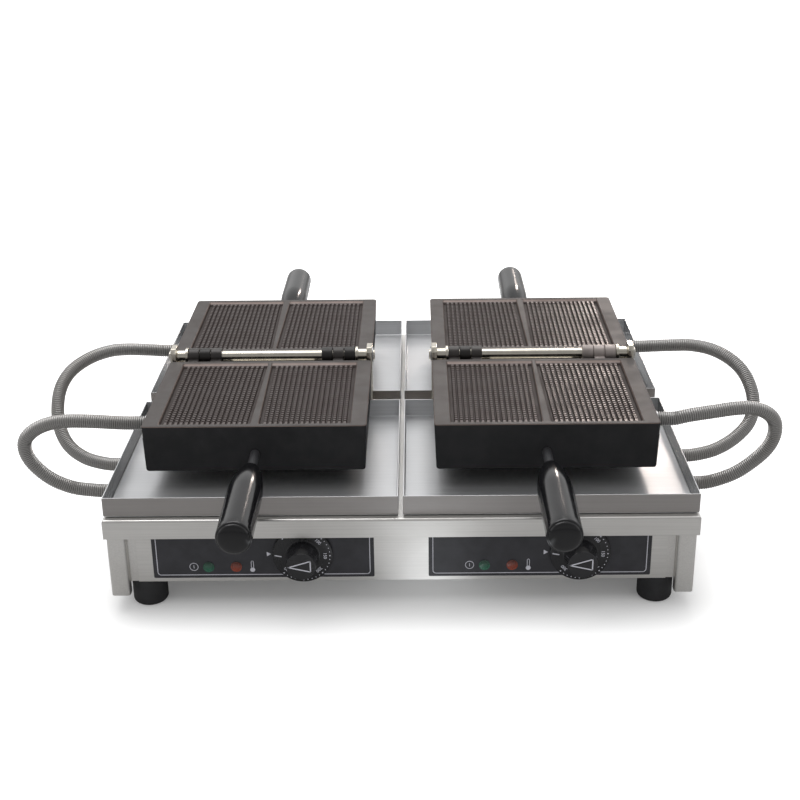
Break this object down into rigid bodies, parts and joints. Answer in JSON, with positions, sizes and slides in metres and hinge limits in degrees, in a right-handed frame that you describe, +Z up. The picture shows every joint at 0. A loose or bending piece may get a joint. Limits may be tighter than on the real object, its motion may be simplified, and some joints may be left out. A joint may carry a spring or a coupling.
{
  "type": "waffle maker",
  "caption": "Counter waffle maker: steel housing with removable drip trays, control panels, hinged cast grid plates that fold open flat, round grips and ribbed hoses.",
  "frame": {"origin": "on the counter, under the middle of the hinge line", "axes": "+X to the right seen from the front, +Y to the rear, +Z up; the handles reach along Y"},
  "size_m": [0.8663, 0.8192, 0.1978],
  "materials": {
    "sheet_steel": "brushed",
    "tray_steel": "brushed",
    "cast_iron": "seasoned",
    "cover_black": "satin black",
    "grip_black": "gloss",
    "knob_black": "satin",
    "overlay_dark": "satin",
    "rubber": "matte",
    "pin_steel": "turned",
    "hose_steel": "ribbed",
    "gland_metal": "bright",
    "gland_black": "matte",
    "element_steel": "heat grey",
    "lamp_green": "translucent",
    "lamp_orange": "translucent",
    "inner_plastic": "moulded",
    "screw_steel": "zinc"
  },
  "bodies": {
    "housing": {"left_side_panel": "sheet_steel", "right_side_panel": "sheet_steel", "front_panel": "sheet_steel", "rear_panel": "sheet_steel", "deck_cap": "sheet_steel", "bottom_plate": "sheet_steel", "feet": "rubber", "foot_screws": "screw_steel", "left_control_overlay": "overlay_dark", "right_control_overlay": "overlay_dark", "power_lamps": "lamp_green", "heating_lamps": "lamp_orange", "thermostats": "inner_plastic", "cable_gland": "gland_black", "terminal_block": "inner_plastic", "left_hinge_stand": "pin_steel", "right_hinge_stand": "pin_steel", "left_hinge_shaft": "pin_steel", "right_hinge_shaft": "pin_steel", "hinge_sleeves": "pin_steel", "hinge_retainers": "pin_steel", "hose_lower_glands": "gland_metal", "left_front_hose": "hose_steel", "left_rear_hose": "hose_steel", "right_front_hose": "hose_steel", "right_rear_hose": "hose_steel"},
    "left_front_tray": {"left_front_tray": "tray_steel"},
    "left_rear_tray": {"left_rear_tray": "tray_steel"},
    "right_front_tray": {"right_front_tray": "tray_steel"},
    "right_rear_tray": {"right_rear_tray": "tray_steel"},
    "left_control": {"left_spindle": "screw_steel", "left_knob": "knob_black"},
    "right_control": {"right_spindle": "screw_steel", "right_knob": "knob_black"},
    "left_front_iron": {"left_front_grid_plate": "cast_iron", "left_front_cover": "cover_black", "left_front_element": "element_steel", "left_front_rod": "pin_steel", "left_front_grip": "grip_black", "left_front_gland": "gland_metal"},
    "left_rear_iron": {"left_rear_grid_plate": "cast_iron", "left_rear_cover": "cover_black", "left_rear_element": "element_steel", "left_rear_rod": "pin_steel", "left_rear_grip": "grip_black", "left_rear_gland": "gland_metal"},
    "right_front_iron": {"right_front_grid_plate": "cast_iron", "right_front_cover": "cover_black", "right_front_element": "element_steel", "right_front_rod": "pin_steel", "right_front_grip": "grip_black", "right_front_gland": "gland_metal"},
    "right_rear_iron": {"right_rear_grid_plate": "cast_iron", "right_rear_cover": "cover_black", "right_rear_element": "element_steel", "right_rear_rod": "pin_steel", "right_rear_grip": "grip_black", "right_rear_gland": "gland_metal"}
  },
  "joints": [
    {"name": "left_front_hinge", "type": "hinge", "parent": "housing", "child": "left_front_iron", "pos_m": [-0.156, 0, 0.18575], "axis": [-1, 0, 0], "range_deg": [0, 180], "deforming": ["left_front_hose"]},
    {"name": "left_rear_hinge", "type": "hinge", "parent": "housing", "child": "left_rear_iron", "pos_m": [-0.156, 0, 0.18575], "axis": [1, 0, 0], "range_deg": [0, 180], "deforming": ["left_rear_hose"]},
    {"name": "right_front_hinge", "type": "hinge", "parent": "housing", "child": "right_front_iron", "pos_m": [0.156, 0, 0.18575], "axis": [-1, 0, 0], "range_deg": [0, 180], "deforming": ["right_front_hose"]},
    {"name": "right_rear_hinge", "type": "hinge", "parent": "housing", "child": "right_rear_iron", "pos_m": [0.156, 0, 0.18575], "axis": [1, 0, 0], "range_deg": [0, 180], "deforming": ["right_rear_hose"]},
    {"name": "left_front_tray_slide", "type": "slide", "parent": "housing", "child": "left_front_tray", "axis": [0, -1, 0], "range_m": [0, 0.25]},
    {"name": "left_rear_tray_slide", "type": "slide", "parent": "housing", "child": "left_rear_tray", "axis": [0, 1, 0], "range_m": [0, 0.25]},
    {"name": "right_front_tray_slide", "type": "slide", "parent": "housing", "child": "right_front_tray", "axis": [0, -1, 0], "range_m": [0, 0.25]},
    {"name": "right_rear_tray_slide", "type": "slide", "parent": "housing", "child": "right_rear_tray", "axis": [0, 1, 0], "range_m": [0, 0.25]},
    {"name": "left_knob_turn", "type": "hinge", "parent": "housing", "child": "left_control", "pos_m": [-0.1038, -0.2676, 0.0642], "axis": [0, 1, 0], "range_deg": [0, 270]},
    {"name": "right_knob_turn", "type": "hinge", "parent": "housing", "child": "right_control", "pos_m": [0.1882, -0.2676, 0.0642], "axis": [0, 1, 0], "range_deg": [0, 270]}
  ]
}
